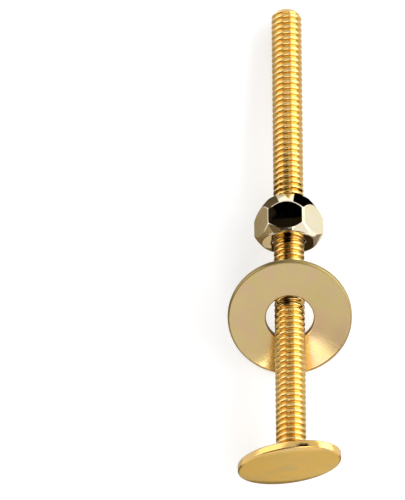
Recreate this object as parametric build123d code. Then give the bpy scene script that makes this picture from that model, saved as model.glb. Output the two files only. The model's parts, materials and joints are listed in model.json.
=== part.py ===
from build123d import *
import math
import os

# A closet bolt lying on a table: oval-headed brass bolt, loose flat washer and open domed nut.
# Lengths are millimetres and angles are degrees.
# A station is a distance along the bolt from the outside of its head.

# Bolt: a 1/4 inch shank, threaded all the way. The shank is drawn at the crests of its thread.
shank_diameter = 6.35
shank_length = 101.6
thread_pitch = 1.27
thread_depth_share = 0.613
tip_relief = 0.25
tip_chamfer_length = 1.1
neck_fillet = 0.4

# Oval head, turned about the shank as the bolt lies, and upset a little to the left of it
head_length = 23.7
head_width = 16.7
head_thickness = 2.1
head_edge_radius = 0.4
head_underside_break = 0.2
head_turn = -37
head_offset = -0.4

# Flat washer, leaning on the shank until its hole binds
washer_diameter = 25.8
washer_hole_diameter = 10.0
washer_thickness = 1.5
washer_edge_break = 0.25
washer_play = 0.1
# clear thread between the head and the washer's low edge
washer_gap = 23.0

# Domed nut: a hexagon turned to a chamfer at its base and to a blunt dome at its other end
nut_across_flats = 12.7
nut_height = 9.3
nut_turned_allowance = 0.25
nut_base_diameter = 11.5
nut_chamfer_angle = 50
nut_dome_start_height = 4.4
nut_dome_radius = 20.0
nut_nose_diameter = 9.0
nut_nose_fillet = 0.8
nut_bore_clearance = 0.1
nut_countersink = 0.35
nut_turn = -6
# clear thread between the washer's high edge and the nut
nut_gap = 7.8

# Sizes that follow from the driving ones
shank_radius = shank_diameter / 2
bolt_length = head_thickness + shank_length
tip_radius = shank_radius - thread_depth_share * thread_pitch - tip_relief
washer_radius = washer_diameter / 2
hexagon_side_angle = 360 / 6
nut_corner_radius = nut_across_flats / 2 / math.cos(math.radians(hexagon_side_angle / 2))

# The washer leans, in radians, until opposite edges of its hole bear on the shank.
hole_diagonal = math.hypot(washer_hole_diameter, washer_thickness)
hole_diagonal_angle = math.atan2(washer_thickness, washer_hole_diameter)
washer_lean = math.acos((shank_diameter + washer_play) / hole_diagonal) - hole_diagonal_angle
# Radius and distance from mid-thickness of the two corners of its chamfered rim
rim_corners = [
    (washer_radius, washer_thickness / 2 - washer_edge_break),
    (washer_radius - washer_edge_break, washer_thickness / 2),
]
washer_reach = max(r * math.sin(washer_lean) + d * math.cos(washer_lean) for r, d in rim_corners)
washer_station = head_thickness + washer_gap + washer_reach
nut_station = washer_station + washer_reach + nut_gap


def make_bolt():
    """Upset oval head, rounded outside, and a plain-drawn threaded shank with a chamfered tip."""
    oval = Ellipse(head_length / 2, head_width / 2)
    head = extrude(oval, head_thickness)
    head = fillet(head.faces().sort_by(Axis.Z)[0].edges(), head_edge_radius)
    head = chamfer(head.faces().sort_by(Axis.Z)[-1].edges(), head_underside_break)
    head = Pos(head_offset, 0, 0) * Rot(0, 0, head_turn) * head
    chamfer_start = bolt_length - tip_chamfer_length
    outline = Polyline(
        (0, 0),
        (0, bolt_length),
        (tip_radius, bolt_length),
        (shank_radius, chamfer_start),
        (shank_radius, 0),
        close=True,
    )
    shank = revolve(Plane.XZ * make_face(outline), Axis.Z)
    # the shank starts half-way through the head and joins its underside with a small fillet
    shank = split(shank, Plane.XY.offset(head_thickness / 2), keep=Keep.TOP)
    bolt = head + shank
    neck = [
        edge
        for edge in bolt.edges().filter_by(GeomType.CIRCLE)
        if math.isclose(edge.center().Z, head_thickness, abs_tol=neck_fillet / 2)
    ]
    return fillet(neck, neck_fillet)


def make_washer():
    """Stamped flat ring with its outer edges broken."""
    ring = extrude(Circle(washer_radius) - Circle(washer_hole_diameter / 2), washer_thickness / 2, both=True)
    rim = ring.edges().filter_by(GeomType.CIRCLE).sort_by(SortBy.RADIUS)[-2:]
    return chamfer(rim, washer_edge_break)


def make_domed_nut():
    """Hexagon bar turned to a chamfered base and a domed end, drilled through and countersunk."""
    base_radius = nut_base_diameter / 2
    turned_radius = nut_corner_radius + nut_turned_allowance
    skirt_height = (turned_radius - base_radius) * math.tan(math.radians(nut_chamfer_angle))
    dome_start = (turned_radius, nut_dome_start_height)
    nose = (nut_nose_diameter / 2, nut_height)
    skirt = Polyline((0, nut_height), (0, 0), (base_radius, 0), (turned_radius, skirt_height), dome_start)
    dome = RadiusArc(dome_start, nose, -nut_dome_radius)
    end_face = Line(nose, (0, nut_height))
    turned = revolve(Plane.XZ * make_face([skirt, dome, end_face]), Axis.Z)
    turned = fillet(turned.edges().sort_by(Axis.Z)[-1], nut_nose_fillet)
    hexagon = extrude(RegularPolygon(nut_across_flats / 2, 6, major_radius=False), nut_height)
    blank = turned & hexagon
    bore_radius = shank_radius + nut_bore_clearance
    bore = Polyline(
        (0, 0),
        (bore_radius + nut_countersink, 0),
        (bore_radius, nut_countersink),
        (bore_radius, nut_height - nut_countersink),
        (bore_radius + nut_countersink, nut_height),
        (0, nut_height),
        close=True,
    )
    return blank - revolve(Plane.XZ * make_face(bore), Axis.Z)


def bolt_tilt():
    """How far the tip hangs, in radians, with the washer's rim and the tip, or the nut, on the table."""

    def tilt_onto(station, depth):
        tilts = []
        for r, d in rim_corners:
            prop_station = washer_station - r * math.sin(washer_lean) + d * math.cos(washer_lean)
            prop_depth = r * math.cos(washer_lean) + d * math.sin(washer_lean)
            tilts.append(math.atan2(prop_depth - depth, station - prop_station))
        return max(tilts)

    from_flat = nut_turn % hexagon_side_angle - hexagon_side_angle / 2
    corner_depth = nut_corner_radius * math.cos(math.radians(from_flat))
    on_tip = tilt_onto(bolt_length - tip_chamfer_length, shank_radius)
    on_nut = tilt_onto(nut_station + nut_dome_start_height, corner_depth)
    return min(on_tip, on_nut)


# Along the bolt Z runs from head to tip, X to the right and Y down. Laid down, the tip points to +Y.
upright = {
    "bolt": make_bolt(),
    "washer": Pos(0, 0, washer_station) * Rot(-math.degrees(washer_lean), 0, 0) * make_washer(),
    "domed_nut": Pos(0, 0, nut_station) * Rot(0, 0, nut_turn) * make_domed_nut(),
}
laid = {name: Rot(-90 - math.degrees(bolt_tilt()), 0, 0) * piece for name, piece in upright.items()}

# The origin is on the table, under the middle of the whole part.
box = Compound(laid.values()).bounding_box()
to_origin = Pos(-box.center().X, -box.center().Y, -box.min.Z)

os.makedirs("parts", exist_ok=True)
for name, piece in laid.items():
    export_step(to_origin * piece, f"parts/{name}.step")
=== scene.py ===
import json
import math

import bmesh
import bpy
from mathutils import Matrix, Vector


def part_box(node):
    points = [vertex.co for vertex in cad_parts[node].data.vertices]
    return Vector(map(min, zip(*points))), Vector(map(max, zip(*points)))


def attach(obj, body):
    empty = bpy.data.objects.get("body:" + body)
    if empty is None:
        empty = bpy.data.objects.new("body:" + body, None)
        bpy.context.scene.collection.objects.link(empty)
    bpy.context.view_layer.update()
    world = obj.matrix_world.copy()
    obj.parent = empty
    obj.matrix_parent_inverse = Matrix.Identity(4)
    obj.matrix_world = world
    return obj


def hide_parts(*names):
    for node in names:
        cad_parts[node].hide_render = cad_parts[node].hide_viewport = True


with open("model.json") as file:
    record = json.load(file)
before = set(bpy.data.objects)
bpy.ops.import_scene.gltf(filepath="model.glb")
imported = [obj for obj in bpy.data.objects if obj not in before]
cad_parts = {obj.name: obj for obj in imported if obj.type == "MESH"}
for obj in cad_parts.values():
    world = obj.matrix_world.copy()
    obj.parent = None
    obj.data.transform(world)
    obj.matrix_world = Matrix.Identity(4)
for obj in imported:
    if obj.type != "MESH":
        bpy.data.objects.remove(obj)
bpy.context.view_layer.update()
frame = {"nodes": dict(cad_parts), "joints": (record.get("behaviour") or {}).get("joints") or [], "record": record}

# The bolt is one piece of yellow brass rod: its oval head is upset cold, its 1/4 inch thread is
# rolled on over the whole shank, and its tip is chamfered. It is the frame that the loose washer
# and the nut ride on, so its axis is read here, from the seat under its head.
head_seat = next(m for m in frame["record"]["mounts"] if m["name"] == "head_seat")
seat_point = Vector(head_seat["pos_m"])
to_tip = Vector(head_seat["axis"]).normalized()
to_right = Vector((1, 0, 0))
away_from_top = to_tip.cross(to_right)
bolt_turn = Matrix((to_right, away_from_top, to_tip)).transposed()
bolt_place = Matrix.Translation(seat_point) @ bolt_turn.to_4x4()

thread_crest_radius = 3.175e-3
thread_root_radius = 2.65e-3
thread_pitch = 1.27e-3
thread_flank_share = 0.7
thread_columns = 72
thread_rows_per_turn = 10
shank_length = 101.6e-3
tip_radius = 2.15e-3
tip_chamfer_length = 1.1e-3
tip_hollow = 0.05e-3
tip_row_shares = (0.94, 0.8, 0.5, 0.2)

head_half_length = 11.85e-3
head_half_width = 8.35e-3
head_thickness = 2.1e-3
head_edge_radius = 0.45e-3
head_edge_steps = 6
head_turn = math.radians(-37)
head_offset = -0.4e-3
head_crown = 0.3e-3
head_crown_power = 5
head_face_shares = (0.12, 0.25, 0.4, 0.55, 0.7, 0.82, 0.92, 0.985)
head_underside_shares = (0.02, 0.15, 0.35, 0.6, 0.85, 0.98)
neck_fillet = 0.4e-3
neck_fillet_steps = 5
neck_start = thread_root_radius + neck_fillet
merge_distance = 1e-6


def put(tree, kind, **settings):
    """A new node in the tree, with its properties set."""
    node = tree.nodes.new(kind)
    for name, value in settings.items():
        setattr(node, name, value)
    return node


def feed(tree, socket, value):
    """Links another node's output to the socket, or sets the socket's own value."""
    if isinstance(value, bpy.types.NodeSocket):
        tree.links.new(value, socket)
    else:
        socket.default_value = value


def sum_of(tree, operation, *values):
    """The output of a math node."""
    node = put(tree, "ShaderNodeMath", operation=operation)
    for socket, value in zip(node.inputs, values):
        feed(tree, socket, value)
    return node.outputs[0]


def eased(tree, value, low, high):
    """0 below low, 1 above high and a smooth rise between them."""
    node = put(tree, "ShaderNodeMapRange", interpolation_type="SMOOTHSTEP")
    for name, amount in (("Value", value), ("From Min", low), ("From Max", high)):
        feed(tree, node.inputs[name], amount)
    return node.outputs["Result"]


def make_thread_tree():
    """A screw thread as a sheet of helical rows: each row keeps its place on the thread's profile."""
    tree = bpy.data.node_groups.new("rolled_thread", "GeometryNodeTree")
    kinds = {
        "Geometry": "NodeSocketGeometry",
        "Crest Radius": "NodeSocketFloat",
        "Root Radius": "NodeSocketFloat",
        "Pitch": "NodeSocketFloat",
        "Start": "NodeSocketFloat",
        "End": "NodeSocketFloat",
        "Fade Length": "NodeSocketFloat",
        "Cone Radius": "NodeSocketFloat",
        "Cone Slope": "NodeSocketFloat",
        "Phase": "NodeSocketFloat",
        "Rows": "NodeSocketInt",
        "Rows Per Turn": "NodeSocketInt",
        "Columns": "NodeSocketInt",
        "Material": "NodeSocketMaterial",
    }
    for name, kind in kinds.items():
        tree.interface.new_socket(name, in_out="INPUT", socket_type=kind)
    tree.interface.new_socket("Geometry", in_out="OUTPUT", socket_type="NodeSocketGeometry")
    given = put(tree, "NodeGroupInput").outputs
    grid = put(tree, "GeometryNodeMeshGrid")
    feed(tree, grid.inputs["Size X"], 1.0)
    feed(tree, grid.inputs["Size Y"], 1.0)
    feed(tree, grid.inputs["Vertices X"], given["Rows"])
    feed(tree, grid.inputs["Vertices Y"], given["Columns"])
    spot = put(tree, "ShaderNodeSeparateXYZ")
    feed(tree, spot.inputs[0], put(tree, "GeometryNodeInputPosition").outputs[0])
    # the grid is one unit wide about its centre, so half a unit brings its edge to zero
    row_share = sum_of(tree, "ADD", spot.outputs["X"], 0.5)
    turn_share = sum_of(tree, "ADD", spot.outputs["Y"], 0.5)
    last_row = sum_of(tree, "SUBTRACT", given["Rows"], 1.0)
    rows_up = sum_of(tree, "MULTIPLY", row_share, last_row)
    turns_up = sum_of(tree, "DIVIDE", rows_up, given["Rows Per Turn"])
    # the sheet begins a turn early and is pressed flat at both ends, which makes them square
    climb = sum_of(tree, "ADD", sum_of(tree, "SUBTRACT", turns_up, 1.0), turn_share)
    raw_height = sum_of(tree, "MULTIPLY_ADD", climb, given["Pitch"], given["Start"])
    height = sum_of(tree, "MINIMUM", sum_of(tree, "MAXIMUM", raw_height, given["Start"]), given["End"])
    # 0 in the root of the thread, 1 on its crest, both a little flat
    saw = sum_of(tree, "FRACT", sum_of(tree, "ADD", turns_up, given["Phase"]))
    ridge = sum_of(tree, "PINGPONG", sum_of(tree, "MULTIPLY", saw, 2.0), 1.0)
    profile = eased(tree, ridge, 0.0, thread_flank_share)
    above_start = sum_of(tree, "SUBTRACT", height, given["Start"])
    below_end = sum_of(tree, "SUBTRACT", given["End"], height)
    fade_in = eased(tree, above_start, 0.0, given["Fade Length"])
    fade_out = eased(tree, below_end, 0.0, given["Fade Length"])
    full = sum_of(tree, "MULTIPLY", fade_in, fade_out)
    depth = sum_of(tree, "SUBTRACT", given["Crest Radius"], given["Root Radius"])
    lift = sum_of(tree, "MULTIPLY", sum_of(tree, "MULTIPLY", profile, full), depth)
    thread_radius = sum_of(tree, "ADD", given["Root Radius"], lift)
    cone_radius = sum_of(tree, "MULTIPLY_ADD", below_end, given["Cone Slope"], given["Cone Radius"])
    radius = sum_of(tree, "MINIMUM", thread_radius, cone_radius)
    angle = sum_of(tree, "MULTIPLY", turn_share, math.tau)
    place = put(tree, "ShaderNodeCombineXYZ")
    feed(tree, place.inputs["X"], sum_of(tree, "MULTIPLY", radius, sum_of(tree, "COSINE", angle)))
    feed(tree, place.inputs["Y"], sum_of(tree, "MULTIPLY", radius, sum_of(tree, "SINE", angle)))
    feed(tree, place.inputs["Z"], height)
    groove = sum_of(tree, "MULTIPLY", sum_of(tree, "SUBTRACT", 1.0, profile), full)
    mark = put(tree, "GeometryNodeStoreNamedAttribute", data_type="FLOAT", domain="POINT")
    feed(tree, mark.inputs["Geometry"], grid.outputs["Mesh"])
    feed(tree, mark.inputs["Name"], "groove")
    feed(tree, mark.inputs["Value"], groove)
    shaped = put(tree, "GeometryNodeSetPosition")
    feed(tree, shaped.inputs["Geometry"], mark.outputs["Geometry"])
    feed(tree, shaped.inputs["Position"], place.outputs[0])
    closed = put(tree, "GeometryNodeMergeByDistance")
    feed(tree, closed.inputs["Geometry"], shaped.outputs["Geometry"])
    feed(tree, closed.inputs["Distance"], merge_distance)
    real = put(tree, "GeometryNodeRealizeInstances")
    feed(tree, real.inputs["Geometry"], closed.outputs["Geometry"])
    painted = put(tree, "GeometryNodeSetMaterial")
    feed(tree, painted.inputs["Geometry"], real.outputs["Geometry"])
    feed(tree, painted.inputs["Material"], given["Material"])
    feed(tree, put(tree, "NodeGroupOutput").inputs["Geometry"], painted.outputs["Geometry"])
    return tree


thread_tree = make_thread_tree()


def cut_thread(name, material, start, end, **sizes):
    """The thread's mesh between two heights, along its own Z axis."""
    turns = (end - start) / thread_pitch + 1
    sizes = {
        "Pitch": thread_pitch,
        "Start": start,
        "End": end,
        "Rows": math.ceil(turns * thread_rows_per_turn) + 1,
        "Rows Per Turn": thread_rows_per_turn,
        "Columns": thread_columns + 1,
        "Material": material,
        **sizes,
    }
    carrier = bpy.data.objects.new(name, bpy.data.meshes.new(name))
    bpy.context.scene.collection.objects.link(carrier)
    modifier = carrier.modifiers.new(name, "NODES")
    modifier.node_group = thread_tree
    for item in thread_tree.interface.items_tree:
        if item.in_out == "INPUT" and item.name in sizes:
            modifier[item.identifier] = sizes[item.name]
    graph = bpy.context.evaluated_depsgraph_get()
    mesh = bpy.data.meshes.new_from_object(
        carrier.evaluated_get(graph), preserve_all_data_layers=True, depsgraph=graph
    )
    carrier.modifiers.remove(modifier)
    bpy.data.objects.remove(carrier)
    return mesh


def add_rows(mesh, rows):
    """Faces between neighbouring rows of points round an axis. A row of one point is a pole."""
    rings = [[mesh.verts.new(point) for point in row] for row in rows]
    for ring, following in zip(rings, rings[1:]):
        count = max(len(ring), len(following))
        for i in range(count):
            corners = []
            for vertex in (
                ring[i % len(ring)],
                ring[(i + 1) % len(ring)],
                following[(i + 1) % len(following)],
                following[i % len(following)],
            ):
                if vertex not in corners:
                    corners.append(vertex)
            mesh.faces.new(corners)


def finish_piece(name, mesh, place, material, body, node):
    """Closes the mesh, puts it in its place and lets it ride for its node."""
    bmesh.ops.remove_doubles(mesh, verts=mesh.verts, dist=merge_distance)
    bmesh.ops.recalc_face_normals(mesh, faces=mesh.faces)
    mesh.transform(place)
    data = bpy.data.meshes.new(name)
    mesh.to_mesh(data)
    mesh.free()
    data.materials.clear()
    data.materials.append(material)
    data.shade_smooth()
    piece = bpy.data.objects.new(name, data)
    bpy.context.scene.collection.objects.link(piece)
    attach(piece, body)
    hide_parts(node)


def new_metal(name):
    """A metal's material, its node tree, its shader and the place on the piece."""
    material = bpy.data.materials.new(name)
    material.use_nodes = True
    tree = material.node_tree
    shader = tree.nodes["Principled BSDF"]
    shader.inputs["Metallic"].default_value = 1.0
    place = put(tree, "ShaderNodeTexCoord").outputs["Object"]
    return material, tree, shader, place


def cloud(tree, place, size, detail, low, high):
    """Soft noise with features of a size in metres, spread from 0 at low to 1 at high."""
    noise = put(tree, "ShaderNodeTexNoise")
    feed(tree, noise.inputs["Vector"], place)
    feed(tree, noise.inputs["Scale"], 1 / size)
    feed(tree, noise.inputs["Detail"], detail)
    return eased(tree, noise.outputs["Fac"], low, high)


def between(tree, amount, low, high):
    """A number that goes from low to high with an amount from 0 to 1."""
    return sum_of(tree, "MULTIPLY_ADD", amount, high - low, low)


def tinted(tree, amount, first, second):
    """The first colour turning into the second with an amount from 0 to 1."""
    mix = put(tree, "ShaderNodeMix", data_type="RGBA")
    # the mix node's sockets share their names, so the colour ones are found by their number
    feed(tree, mix.inputs[0], amount)
    feed(tree, mix.inputs[6], first)
    feed(tree, mix.inputs[7], second)
    return mix.outputs[2]


def dented(tree, shader, height):
    """Relief on the shader's normal, from a height in metres."""
    bump = put(tree, "ShaderNodeBump")
    feed(tree, bump.inputs["Strength"], 1.0)
    feed(tree, bump.inputs["Distance"], 1.0)
    feed(tree, bump.inputs["Height"], height)
    feed(tree, shader.inputs["Normal"], bump.outputs["Normal"])


def patch_at(tree, place, middle, inner, outer):
    """1 within an inner distance of a point, fading to 0 at an outer one."""
    away = put(tree, "ShaderNodeVectorMath", operation="DISTANCE")
    feed(tree, away.inputs[0], place)
    feed(tree, away.inputs[1], middle)
    return eased(tree, away.outputs["Value"], outer, inner)


brass_clean = (0.69, 0.435, 0.13, 1)
brass_bloom = (0.62, 0.415, 0.155, 1)
brass_pressed = (0.5, 0.4, 0.22, 1)
brass_in_roots = (0.66, 0.375, 0.068, 1)
# dark brown of the painted shade spots on the thread
brass_painted_shade = (0.05, 0.02, 0.005, 1)
brass_grain_height = 4e-6
die_mark_share = 0.5
head_middle = seat_point - to_tip * head_thickness + to_right * head_offset
# painted shade where the washer's hole and the nut's mouth meet the top of the thread, as places to the right of
# the axis and along it from the seat
painted_shade_places = ((-0.75e-3, 34.1e-3), (-0.4e-3, 48.3e-3))
painted_shade_marks = [bolt_place @ Vector((across, -thread_crest_radius, along)) for across, along in painted_shade_places]


def make_yellow_brass():
    """Bright brass with a faint cloudy bloom, deeper in the thread's roots, with painted shade where the washer's
    hole and the nut's mouth meet it.
    """
    material, tree, shader, place = new_metal("yellow_brass")
    bloom = cloud(tree, place, size=4e-3, detail=3.0, low=0.35, high=0.65)
    grain = cloud(tree, place, size=0.5e-3, detail=4.0, low=0.3, high=0.7)
    clean = tinted(tree, bloom, brass_clean, brass_bloom)
    die_mark = patch_at(tree, place, head_middle, inner=1.2e-3, outer=2.4e-3)
    marked = tinted(tree, sum_of(tree, "MULTIPLY", die_mark, die_mark_share), clean, brass_pressed)
    groove = put(tree, "ShaderNodeAttribute", attribute_name="groove").outputs["Fac"]
    colour = tinted(tree, groove, marked, brass_in_roots)
    # each spot is painted shade, a soft dark patch on the top of the thread
    for mark in painted_shade_marks:
        painted_spot = patch_at(tree, place, mark, inner=0.6e-3, outer=1.3e-3)
        colour = tinted(tree, painted_spot, colour, brass_painted_shade)
    feed(tree, shader.inputs["Base Color"], colour)
    feed(tree, shader.inputs["Roughness"], between(tree, grain, low=0.13, high=0.22))
    dented(tree, shader, sum_of(tree, "MULTIPLY", grain, brass_grain_height))
    return material


yellow_brass = make_yellow_brass()


def around(radius_at, height, off_axis=0.0, columns=thread_columns):
    """A row of points round the axis, or round a line to the right of it."""
    row = []
    for i in range(columns):
        angle = math.tau * i / columns
        radius = radius_at(angle)
        row.append(Vector((off_axis + radius * math.cos(angle), radius * math.sin(angle), height)))
    return row


def steady(radius):
    """The outline of a circle: the same distance from the axis all round."""
    return lambda angle: radius


def oval(inset, share=1.0):
    """The head's outline, drawn in by an inset and then to a share of its size."""
    long = head_half_length - inset
    short = head_half_width - inset

    def radius_at(angle):
        turned = angle - head_turn
        return share * long * short / math.hypot(short * math.cos(turned), long * math.sin(turned))

    return radius_at


def underside(share):
    """The outline on the head's underside at a share of the way from its edge to the neck."""
    edge = oval(head_edge_radius)
    return lambda angle: edge(angle) + (neck_start - edge(angle)) * share


def round_edge(steps):
    """Sine and cosine of the angles along a quarter round."""
    angles = [math.pi / 2 * i / steps for i in range(steps + 1)]
    return [(math.sin(angle), math.cos(angle)) for angle in angles]


def head_rows():
    """From the middle of the head's outer face, over its edge and along its underside to the neck."""
    rows = [[Vector((head_offset, 0, -head_thickness))]]
    for share in head_face_shares:
        height = -head_thickness + head_crown * share**head_crown_power
        rows.append(around(oval(head_edge_radius, share), height, head_offset))
    face_edge = -head_thickness + head_crown
    for sine, cosine in round_edge(head_edge_steps):
        height = face_edge + head_edge_radius * (1 - cosine)
        rows.append(around(oval(head_edge_radius * (1 - sine)), height, head_offset))
    for sine, cosine in reversed(round_edge(head_edge_steps)):
        height = -head_edge_radius * (1 - cosine)
        rows.append(around(oval(head_edge_radius * (1 - sine)), height, head_offset))
    for share in head_underside_shares:
        rows.append(around(underside(share), 0, head_offset * (1 - share)))
    for sine, cosine in reversed(round_edge(neck_fillet_steps)):
        rows.append(around(steady(neck_start - neck_fillet * cosine), neck_fillet * (1 - sine)))
    return rows


def tip_rows():
    """The sheared end of the rod, a little hollow."""
    rows = [around(steady(tip_radius), shank_length)]
    for share in tip_row_shares:
        rows.append(around(steady(tip_radius * share), shank_length - tip_hollow * (1 - share)))
    rows.append([Vector((0, 0, shank_length - tip_hollow))])
    return rows


bolt_mesh = bmesh.new()
bolt_mesh.from_mesh(
    cut_thread(
        "bolt_thread",
        yellow_brass,
        neck_fillet,
        shank_length,
        **{
            "Crest Radius": thread_crest_radius,
            "Root Radius": thread_root_radius,
            "Fade Length": thread_pitch,
            "Cone Radius": tip_radius,
            "Cone Slope": (thread_crest_radius - tip_radius) / tip_chamfer_length,
            "Phase": 0.0,
        },
    )
)
add_rows(bolt_mesh, head_rows())
add_rows(bolt_mesh, tip_rows())
finish_piece("closet_bolt", bolt_mesh, bolt_place, yellow_brass, "bolt", "bolt")

# The washer is a wide flat ring stamped from sheet, tumbled until its edges are round and plated
# a pale satin brass. It hangs loose on the shank and leans until its hole binds there.
washer_low, washer_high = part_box("washer")
washer_middle = (washer_low + washer_high) / 2
widest_facet = max(frame["nodes"]["washer"].data.polygons, key=lambda facet: facet.area)
washer_axis = widest_facet.normal.normalized()
if washer_axis.z < 0:
    washer_axis.negate()
washer_turn = washer_axis.to_track_quat("Z", "Y").to_matrix()
washer_place = Matrix.Translation(washer_middle) @ washer_turn.to_4x4()

washer_radius = 12.9e-3
washer_hole_radius = 5.0e-3
washer_half_thickness = 0.75e-3
washer_edge_radius = 0.43e-3
washer_hole_edge_radius = 0.2e-3
washer_edge_steps = 6
washer_columns = 192
washer_face_row_shares = (0.02, 0.25, 0.5, 0.75, 0.98)
washer_hollow_slope = 0.145
washer_hollow_lopsided = 0.195

washer_tan = (0.6, 0.46, 0.22, 1)
washer_yellow = (0.57, 0.46, 0.19, 1)
washer_rose = (0.6, 0.43, 0.24, 1)
# painted shade for the washer's rim, darker than its face
washer_rim_painted_shade = (0.31, 0.23, 0.085, 1)
# painted shade for the wall of the washer's hole
washer_hole_painted_shade = (0.1, 0.065, 0.025, 1)
washer_rim_begin = washer_radius - 0.46e-3
washer_rim_full = washer_radius - 0.3e-3
washer_sheared_roughness = 0.3
washer_grain_height = 1.5e-6
washer_ring_height = 2e-6
# a wave texture's rings are 0.31 of a unit apart, so these are 0.38 mm apart
washer_ring_scale = 1 / 1.2e-3


def face_points(start, end):
    """Points along a flat face of the section. Those close to its edges keep it flat."""
    return [(start[0] + (end[0] - start[0]) * share, start[1]) for share in washer_face_row_shares]


def washer_section():
    """The ring's section, from the top of its rim down and round by the hole to where it began."""
    corners = (
        (washer_radius, washer_half_thickness, washer_edge_radius),
        (washer_radius, -washer_half_thickness, washer_edge_radius),
        (washer_hole_radius, -washer_half_thickness, washer_hole_edge_radius),
        (washer_hole_radius, washer_half_thickness, washer_hole_edge_radius),
    )
    rounds = []
    for quarter, (radius, height, edge) in enumerate(corners):
        across = radius + edge if radius == washer_hole_radius else radius - edge
        up = height - edge if height > 0 else height + edge
        points = []
        for i in range(washer_edge_steps + 1):
            angle = math.pi / 2 * (1 - quarter) - math.pi / 2 * i / washer_edge_steps
            points.append((across + edge * math.cos(angle), up + edge * math.sin(angle)))
        rounds.append(points)
    upper_rim, lower_rim, lower_hole, upper_hole = rounds
    lower_face = face_points(lower_rim[-1], lower_hole[0])
    upper_face = face_points(upper_hole[-1], upper_rim[0])
    return upper_rim + lower_rim + lower_face + lower_hole + upper_hole + upper_face + upper_rim[:1]


def make_washer_plating():
    """Satin plating over faint turning rings, with a cloudy yellow and rose bloom, and painted shade on its rim
    and in its hole.
    """
    material, tree, shader, place = new_metal("washer_plating")
    on_face = put(tree, "ShaderNodeMapping", vector_type="TEXTURE")
    feed(tree, on_face.inputs["Vector"], place)
    feed(tree, on_face.inputs["Location"], washer_middle)
    feed(tree, on_face.inputs["Rotation"], washer_place.to_euler())
    across = put(tree, "ShaderNodeVectorMath", operation="MULTIPLY")
    feed(tree, across.inputs[0], on_face.outputs["Vector"])
    feed(tree, across.inputs[1], (1, 1, 0))
    off_axis = put(tree, "ShaderNodeVectorMath", operation="LENGTH")
    feed(tree, off_axis.inputs[0], across.outputs["Vector"])
    rings = put(tree, "ShaderNodeTexWave", wave_type="RINGS", rings_direction="Z")
    feed(tree, rings.inputs["Vector"], on_face.outputs["Vector"])
    feed(tree, rings.inputs["Scale"], washer_ring_scale)
    feed(tree, rings.inputs["Distortion"], 2.0)
    feed(tree, rings.inputs["Detail"], 3.0)
    feed(tree, rings.inputs["Detail Scale"], 1.5)
    bloom = cloud(tree, place, size=6e-3, detail=2.0, low=0.3, high=0.7)
    blush = cloud(tree, on_face.outputs["Vector"], size=4e-3, detail=2.0, low=0.35, high=0.7)
    grain = cloud(tree, place, size=0.35e-3, detail=4.0, low=0.3, high=0.7)
    face = tinted(tree, blush, tinted(tree, bloom, washer_tan, washer_yellow), washer_rose)
    radius = off_axis.outputs["Value"]
    at_rim = eased(tree, radius, washer_rim_begin, washer_rim_full)
    at_hole = eased(tree, radius, washer_hole_radius + washer_hole_edge_radius, washer_hole_radius)
    sheared = sum_of(tree, "MAXIMUM", at_rim, at_hole)
    face_spot = put(tree, "ShaderNodeSeparateXYZ")
    feed(tree, face_spot.inputs[0], on_face.outputs["Vector"])
    up_share = sum_of(tree, "DIVIDE", face_spot.outputs["Y"], washer_radius)
    # painted shade darkens the rim everywhere but at its low end, which stays bright
    rim_painted_shade = sum_of(tree, "MULTIPLY", at_rim, eased(tree, up_share, low=-0.85, high=-0.45))
    rimmed = tinted(tree, rim_painted_shade, face, washer_rim_painted_shade)
    # painted shade darkens the wall of the hole
    feed(tree, shader.inputs["Base Color"], tinted(tree, at_hole, rimmed, washer_hole_painted_shade))
    satin = between(tree, grain, low=0.09, high=0.15)
    rough = sum_of(tree, "MULTIPLY_ADD", sheared, washer_sheared_roughness, satin)
    feed(tree, shader.inputs["Roughness"], rough)
    # a stamped washer is a little hollow, steepest at its rim and more so on one side
    rim_share = sum_of(tree, "DIVIDE", sum_of(tree, "MULTIPLY", radius, radius), 2 * washer_radius)
    slope = sum_of(tree, "MULTIPLY_ADD", up_share, -washer_hollow_lopsided, 1.0)
    even_hollow = sum_of(tree, "MULTIPLY", rim_share, washer_hollow_slope)
    hollow = sum_of(tree, "MULTIPLY", even_hollow, slope)
    marks = sum_of(tree, "MULTIPLY_ADD", rings.outputs["Fac"], washer_ring_height, hollow)
    dented(tree, shader, sum_of(tree, "MULTIPLY_ADD", grain, washer_grain_height, marks))
    return material


washer_plating = make_washer_plating()
washer_mesh = bmesh.new()
washer_rows = []
for section_radius, section_height in washer_section():
    washer_rows.append(around(steady(section_radius), section_height, columns=washer_columns))
add_rows(washer_mesh, washer_rows)
finish_piece("flat_washer", washer_mesh, washer_place, washer_plating, "washer", "washer")

# The nut is turned from hexagon bar: a chamfered base, six short flats and a blunt dome that the
# shank comes out of. It is tapped right through and plated bright with a pale nickel brass.
nut_turn_joint = next(j for j in frame["joints"] if j["name"] == "nut_turn")
nut_base_height = (Vector(nut_turn_joint["pos_m"]) - seat_point).dot(to_tip)
nut_place = bolt_place @ Matrix.Translation((0, 0, nut_base_height))

nut_flats = 6
nut_flat_angle = 360 / nut_flats
nut_half_flat = nut_flat_angle / 2
nut_apothem = 6.35e-3
nut_height = 9.3e-3
nut_base_radius = 5.75e-3
nut_chamfer_slope = math.tan(math.radians(50))
nut_turned_allowance = 0.25e-3
nut_turned_radius = nut_apothem / math.cos(math.radians(nut_half_flat)) + nut_turned_allowance
nut_dome_start = 4.4e-3
nut_dome_radius = 20e-3
nut_nose_radius = 4.5e-3
nut_nose_round = 0.8e-3
nut_edge_round = 0.16e-3
nut_base_round = 2 * nut_edge_round
nut_corner_power = 60
nut_bore_radius = 3.275e-3
nut_thread_radius = 2.75e-3
nut_countersink = 0.35e-3
nut_turn = math.radians(-6)
# half a turn over the bolt's own phase puts the nut's ridges in the bolt's grooves
nut_thread_phase = (nut_base_height + nut_countersink - neck_fillet) / thread_pitch + 0.5

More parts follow.
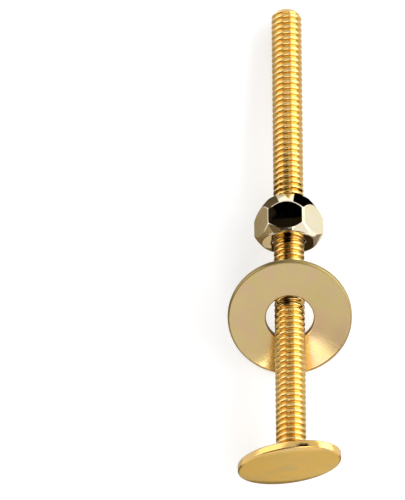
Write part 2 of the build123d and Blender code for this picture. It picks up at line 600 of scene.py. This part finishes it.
nut_columns_per_flat = 24
nut_mouth_steps = 3
nut_edge_steps = 4
nut_nose_steps = 8
nut_dome_steps = 9
nut_base_shares = (0.15, 0.5, 0.8)
nut_chamfer_shares = (0.45, 0.7)
nut_flat_shares = (0.08, 0.3, 0.5, 0.7, 0.92)

nut_pale = (0.86, 0.79, 0.6, 1)
nut_haze = (0.84, 0.75, 0.52, 1)
nut_grain_height = 1e-6


def nut_column_angles():
    """Angles of the nut's columns, closer together at its corners."""
    angles = []
    for flat in range(nut_flats):
        for i in range(nut_columns_per_flat):
            across = 2 * i / nut_columns_per_flat - 1
            bunched = math.sin(across * math.pi / 2)
            degrees = nut_flat_angle * flat + nut_half_flat + nut_half_flat * bunched
            angles.append(nut_turn + math.radians(degrees))
    return angles


def hexagon_radius(angle):
    """Distance from the axis to the flats, with corners a little rounded."""
    off_middle = abs(math.degrees(angle - nut_turn) % nut_flat_angle - nut_half_flat)
    near = math.cos(math.radians(off_middle))
    far = math.cos(math.radians(nut_flat_angle - off_middle))
    return nut_apothem / (near**nut_corner_power + far**nut_corner_power) ** (1 / nut_corner_power)


def dome_middle():
    """Centre of the dome's arc, seen in section."""
    start = Vector((nut_turned_radius, nut_dome_start))
    nose = Vector((nut_nose_radius, nut_height))
    half_way = (start + nose) / 2
    chord = nose - start
    inward = Vector((-chord.y, chord.x)).normalized()
    return half_way + inward * math.sqrt(nut_dome_radius**2 - (chord.length / 2) ** 2)


dome_centre = dome_middle()


def dome_height(radius):
    """Height of the dome at a distance from the axis."""
    return dome_centre.y + math.sqrt(nut_dome_radius**2 - (radius - dome_centre.x) ** 2)


def softened(before, corner, after, size, steps):
    """A corner of the section, cut back by a size on both sides and rounded."""
    start = corner + (before - corner).normalized() * min(size, (before - corner).length / 2)
    end = corner + (after - corner).normalized() * min(size, (after - corner).length / 2)
    shares = [i / steps for i in range(steps + 1)]
    return [start * (1 - s) ** 2 + corner * 2 * s * (1 - s) + end * s**2 for s in shares]


def stretch(start, end, shares):
    """Points between two others."""
    return [start.lerp(end, share) for share in shares]


def nut_section(flat_radius):
    """Half of the nut's section where its flat is this far from the axis, from its base to its nose."""
    mouth = Vector((nut_bore_radius + nut_countersink, 0))
    base = Vector((nut_base_radius, 0))
    foot = Vector((flat_radius, (flat_radius - nut_base_radius) * nut_chamfer_slope))
    shoulder = Vector((flat_radius, dome_height(flat_radius)))
    on_dome = []
    for i in range(1, nut_dome_steps):
        radius = flat_radius + (nut_nose_radius - flat_radius) * i / nut_dome_steps
        on_dome.append(Vector((radius, dome_height(radius))))
    nose = Vector((nut_nose_radius, nut_height))
    far_mouth = Vector((nut_bore_radius + nut_countersink, nut_height))
    bore_start = Vector((nut_bore_radius, nut_countersink))
    bore_end = Vector((nut_bore_radius, nut_height - nut_countersink))
    points = [bore_start]
    points += softened(bore_start, mouth, base, nut_edge_round, nut_mouth_steps)
    points += stretch(mouth, base, nut_base_shares)
    points += softened(mouth, base, foot, nut_base_round, nut_edge_steps)
    points += stretch(base, foot, nut_chamfer_shares)
    points += softened(base, foot, shoulder, nut_edge_round, nut_edge_steps)
    points += stretch(foot, shoulder, nut_flat_shares)
    points += softened(foot, shoulder, on_dome[0], nut_edge_round, nut_edge_steps)
    points += on_dome[:-1]
    points += softened(on_dome[-2], nose, far_mouth, nut_nose_round, nut_nose_steps)
    points += softened(nose, far_mouth, bore_end, nut_edge_round, nut_mouth_steps)
    points += [bore_end]
    return points


def make_nut_plating():
    """Bright pale plating with a finger haze and hardly any grain."""
    material, tree, shader, place = new_metal("nut_plating")
    haze = cloud(tree, place, size=2.5e-3, detail=3.0, low=0.35, high=0.7)
    grain = cloud(tree, place, size=0.3e-3, detail=3.0, low=0.3, high=0.7)
    feed(tree, shader.inputs["Base Color"], tinted(tree, haze, nut_pale, nut_haze))
    feed(tree, shader.inputs["Roughness"], between(tree, haze, low=0.05, high=0.1))
    dented(tree, shader, sum_of(tree, "MULTIPLY", grain, nut_grain_height))
    return material


nut_plating = make_nut_plating()
nut_mesh = bmesh.new()
nut_mesh.from_mesh(
    cut_thread(
        "nut_thread",
        nut_plating,
        nut_countersink,
        nut_height - nut_countersink,
        **{
            "Crest Radius": nut_thread_radius,
            "Root Radius": nut_bore_radius,
            "Fade Length": thread_pitch / 2,
            "Cone Radius": nut_bore_radius,
            "Cone Slope": 0.0,
            "Phase": nut_thread_phase,
        },
    )
)
nut_angles = nut_column_angles()
nut_sections = [nut_section(hexagon_radius(angle)) for angle in nut_angles]
nut_rows = []
for level in zip(*nut_sections):
    row = []
    for point, angle in zip(level, nut_angles):
        row.append(Vector((point.x * math.cos(angle), point.x * math.sin(angle), point.y)))
    nut_rows.append(row)
add_rows(nut_mesh, nut_rows)
finish_piece("domed_nut_piece", nut_mesh, nut_place, nut_plating, "nut", "domed_nut")

# The table top is a wide sheet of white card that the bolt lies on. It is lit by the lamps and
# shows as white to the camera and in the metal, with the shadow still on it.
table_half_width = 3.0
table_white = 0.62
table_shine = 0.5

bpy.ops.mesh.primitive_plane_add(size=2 * table_half_width)
table = bpy.context.object
table.name = "table_top"
card = bpy.data.materials.new("white_card")
card.use_nodes = True
card_tree = card.node_tree
card_shader = card_tree.nodes["Principled BSDF"]
card_shader.inputs["Base Color"].default_value = (table_white, table_white, table_white, 1)
card_shader.inputs["Roughness"].default_value = 1.0
card_shader.inputs["Specular IOR Level"].default_value = 0.0
card_shader.inputs["Emission Color"].default_value = (1, 1, 1, 1)


def seen_as_background(tree):
    """1 for rays from the camera, off metal and through glass, and 0 for the rest."""
    path = put(tree, "ShaderNodeLightPath").outputs
    seen = sum_of(tree, "ADD", path["Is Camera Ray"], path["Is Glossy Ray"])
    return sum_of(tree, "MINIMUM", sum_of(tree, "ADD", seen, path["Is Transmission Ray"]), 1.0)


card_shine = sum_of(card_tree, "MULTIPLY", seen_as_background(card_tree), table_shine)
feed(card_tree, card_shader.inputs["Emission Strength"], card_shine)
table.data.materials.append(card)

# The room is white all round. A broad lamp on the right is the main light, a weaker one on the left fills in, and
# one in front lays the glare on the washer. Dull cards stand and lie out of view, so that the bright metal has
# something dark to mirror. All of their places are chosen one by one.
room_light = 0.45
room_white = 1.0
card_lift = 0.2e-3
black = (0, 0, 0)
soot = (0.02, 0.015, 0.01)

room = bpy.data.worlds.new("white_room")
bpy.context.scene.world = room
room.use_nodes = True
room_tree = room.node_tree
backdrop = room_tree.nodes["Background"]
backdrop.inputs["Color"].default_value = (1, 1, 1, 1)
room_strength = between(room_tree, seen_as_background(room_tree), room_light, room_white)
feed(room_tree, backdrop.inputs["Strength"], room_strength)


def hang(item, place, target, roll=0.0):
    """Puts a lamp or a card in its place, facing the target and out of the camera's sight."""
    facing = (Vector(target) - Vector(place)).to_track_quat("-Z", "Y").to_matrix()
    item.matrix_world = Matrix.Translation(place) @ (facing @ Matrix.Rotation(roll, 3, "Z")).to_4x4()
    item.visible_camera = False


def add_lamp(name, radiance, place, target, width, height, roll=0.0):
    """A soft box that shines as bright as the radiance says, where 1 is white."""
    light = bpy.data.lights.new(name, "AREA")
    light.shape = "RECTANGLE"
    light.size = width
    light.size_y = height
    area = width * height
    light.energy = radiance * math.pi * area
    lamp = bpy.data.objects.new(name, light)
    bpy.context.scene.collection.objects.link(lamp)
    hang(lamp, place, target, roll)


def add_card(name, colour, place, target, width, height):
    """A dull card that only the metal mirrors, facing the target."""
    across, up = width / 2, height / 2
    data = bpy.data.meshes.new(name)
    corners = [(-across, -up, 0), (across, -up, 0), (across, up, 0), (-across, up, 0)]
    data.from_pydata(corners, [], [(0, 1, 2, 3)])
    cloth = bpy.data.materials.new(name + "_cloth")
    cloth.use_nodes = True
    dull = cloth.node_tree.nodes["Principled BSDF"]
    dull.inputs["Base Color"].default_value = (*colour, 1)
    dull.inputs["Roughness"].default_value = 1.0
    dull.inputs["Specular IOR Level"].default_value = 0.0
    data.materials.append(cloth)
    card = bpy.data.objects.new(name, data)
    bpy.context.scene.collection.objects.link(card)
    hang(card, place, target)
    card.visible_shadow = False
    card.visible_diffuse = False


def lay_card(name, colour, layer, across, along):
    """A card flat on the table, between two places across the bolt and two along it."""
    left, right = across
    near, far = along
    place = Vector(((left + right) / 2, (near + far) / 2, layer * card_lift))
    add_card(name, colour, place, place + Vector((0, 0, 1)), right - left, far - near)


def stand_card(name, colour, across, along, height):
    """A card that stands across the table, facing the head."""
    left, right = across
    place = Vector(((left + right) / 2, along, height / 2))
    add_card(name, colour, place, place - Vector((0, 1, 0)), right - left, height)


add_lamp(
    "right_lamp",
    radiance=2.5,
    place=(0.5, 0.3, 0.27),
    target=(0, 0.3, 0.01),
    width=1.5,
    height=0.56,
)
add_lamp(
    "left_lamp",
    radiance=1.15,
    place=(-0.55, 0.45, 0.25),
    target=(0, 0.45, 0.01),
    width=1.2,
    height=0.5,
)
add_lamp(
    "front_lamp",
    radiance=3.0,
    place=(-0.012, -0.5685, 0.5884),
    target=(0, -0.0174, 0.0085),
    width=0.42,
    height=0.33,
    roll=math.radians(36),
)

# cards in the air, for the nut's flats, bevels and edges, the washer and the middle of the head
add_card(
    "flat_card",
    black,
    place=(-0.0102, 0.0219, 0.0434),
    target=(-0.0025, 0.004, 0.014),
    width=0.0265,
    height=0.021,
)
add_card(
    "nut_shade_card",
    soot,
    place=(-0.0015, 0.0028, 0.0215),
    target=(-0.0015, 0.0028, 0),
    width=0.009,
    height=0.0086,
)
add_card(
    "head_spot_card",
    black,
    place=(0.0002, -0.0495, 0.0375),
    target=(0.0002, -0.0495, 0),
    width=0.009,
    height=0.018,
)
add_card(
    "left_shade_card",
    (0.06, 0.045, 0.025),
    place=(-0.0055, -0.0035, 0.02),
    target=(-0.0055, -0.0035, 0),
    width=0.007,
    height=0.009,
)
add_card(
    "left_bevel_card",
    soot,
    place=(-0.0099, 0.0084, 0.0175),
    target=(-0.0041, 0.003, 0.0134),
    width=0.009,
    height=0.013,
)
add_card(
    "lower_edge_card",
    (0.1, 0.08, 0.09),
    place=(0.0002, -0.0116, 0.0346),
    target=(0.0002, 0.0006, 0.014),
    width=0.0144,
    height=0.0132,
)
add_card(
    "left_corner_card",
    (0.3, 0.23, 0.13),
    place=(-0.0276, -0.0163, 0.0092),
    target=(-0.0045, 0.0004, 0.0122),
    width=0.0168,
    height=0.0182,
)
add_card(
    "front_card",
    (0.17, 0.12, 0.06),
    place=(-0.28, -0.301, 0.193),
    target=(0, 0, 0.01),
    width=0.31,
    height=0.33,
)
add_card(
    "strip_card",
    (0.03, 0.02, 0.02),
    place=(-0.009, -0.0543, 0.0551),
    target=(0, -0.001, 0.012),
    width=0.042,
    height=0.018,
)

# cards on the table, in layers where they overlap: beside the shank, about the head and about the nut. Their
# colours are painted shade and painted reflections on the table, which only the metal mirrors.
lay_card("right_card", (0.8, 0.8, 0.75), layer=1, across=(5.5e-3, 22.5e-3), along=(-50e-3, 50e-3))
lay_card("left_card", (0.75, 0.75, 0.7), layer=1, across=(-24.5e-3, -5.5e-3), along=(-50e-3, 50e-3))
lay_card("head_card", (0.82, 0.78, 0.51), layer=1, across=(-15e-3, 15e-3), along=(-68e-3, -52e-3))
lay_card("head_shadow_card", (0.35, 0.33, 0.2), layer=2, across=(-13e-3, 13e-3), along=(-53.5e-3, -46e-3))
lay_card("head_left_card", (0.3, 0.28, 0.17), layer=2, across=(-26e-3, -13e-3), along=(-62e-3, -50e-3))
lay_card("head_right_card", (0.4, 0.37, 0.22), layer=2, across=(13e-3, 26e-3), along=(-62e-3, -50e-3))
lay_card("right_facet_card", (0.9, 0.89, 0.85), layer=1, across=(25e-3, 45e-3), along=(7e-3, 27e-3))
lay_card("left_facet_card", (0.41, 0.335, 0.225), layer=2, across=(-25e-3, -11e-3), along=(3e-3, 15e-3))
lay_card("left_skirt_card", (0.3, 0.22, 0.11), layer=2, across=(-38e-3, -6.5e-3), along=(-22e-3, 2e-3))
lay_card("right_base_card", (0.04, 0.025, 0.01), layer=2, across=(-3.6e-3, 5.2e-3), along=(-8.5e-3, -2e-3))
lay_card("right_skirt_card", (0.3, 0.25, 0.22), layer=2, across=(5.2e-3, 20e-3), along=(-12e-3, -0.8e-3))
lay_card("left_base_card", (0.3, 0.22, 0.12), layer=2, across=(-6.5e-3, -3.6e-3), along=(-3.6e-3, -0.8e-3))
lay_card("left_seat_card", (0.98, 0.84, 0.6), layer=3, across=(-6.5e-3, -3.6e-3), along=(-8.5e-3, -3.6e-3))

# screens that stand behind the nut, for its dome
stand_card("right_dome_screen", black, across=(1.3e-3, 6.5e-3), along=9.4e-3, height=13.6e-3)
stand_card("left_dome_screen", (0.18, 0.14, 0.09), across=(-7e-3, -2.9e-3), along=9.4e-3, height=13.4e-3)

# The camera looks down on the bolt from beyond its head through a long lens, as in the photograph,
# with the bolt to the right of the picture's middle.
picture_width = 405
picture_height = 500
pixels_per_metre = 4806
# the point of the bolt's axis this far from the outside of its head is seen at this pixel
axis_station = 50.0e-3
axis_pixel_across = 289.0
axis_pixel_down = 246.9
camera_azimuth = math.radians(-0.44)
camera_elevation = math.radians(70.86)
camera_distance = 3.0

camera_back = Vector(
    (
        math.sin(camera_azimuth) * math.cos(camera_elevation),
        -math.cos(camera_azimuth) * math.cos(camera_elevation),
        math.sin(camera_elevation),
    )
)
camera_turn = (-camera_back).to_track_quat("-Z", "Y")
picture_right = camera_turn @ Vector((1, 0, 0))
picture_up = camera_turn @ Vector((0, 1, 0))
axis_point = seat_point + to_tip * (axis_station - head_thickness)
pixels_right = axis_pixel_across - picture_width / 2
pixels_up = picture_height / 2 - axis_pixel_down
aim = axis_point - (picture_right * pixels_right + picture_up * pixels_up) / pixels_per_metre
lens = bpy.data.cameras.new("long_lens")
lens.sensor_width = 36.0
lens.lens = lens.sensor_width * camera_distance * pixels_per_metre / picture_height
lens.clip_end = 30.0
camera = bpy.data.objects.new("camera", lens)
bpy.context.scene.collection.objects.link(camera)
camera.location = aim + camera_back * camera_distance
camera.rotation_mode = "QUATERNION"
camera.rotation_quaternion = camera_turn
bpy.context.scene.camera = camera
bpy.context.scene.view_settings.view_transform = "Standard"

bpy.context.view_layer.update()
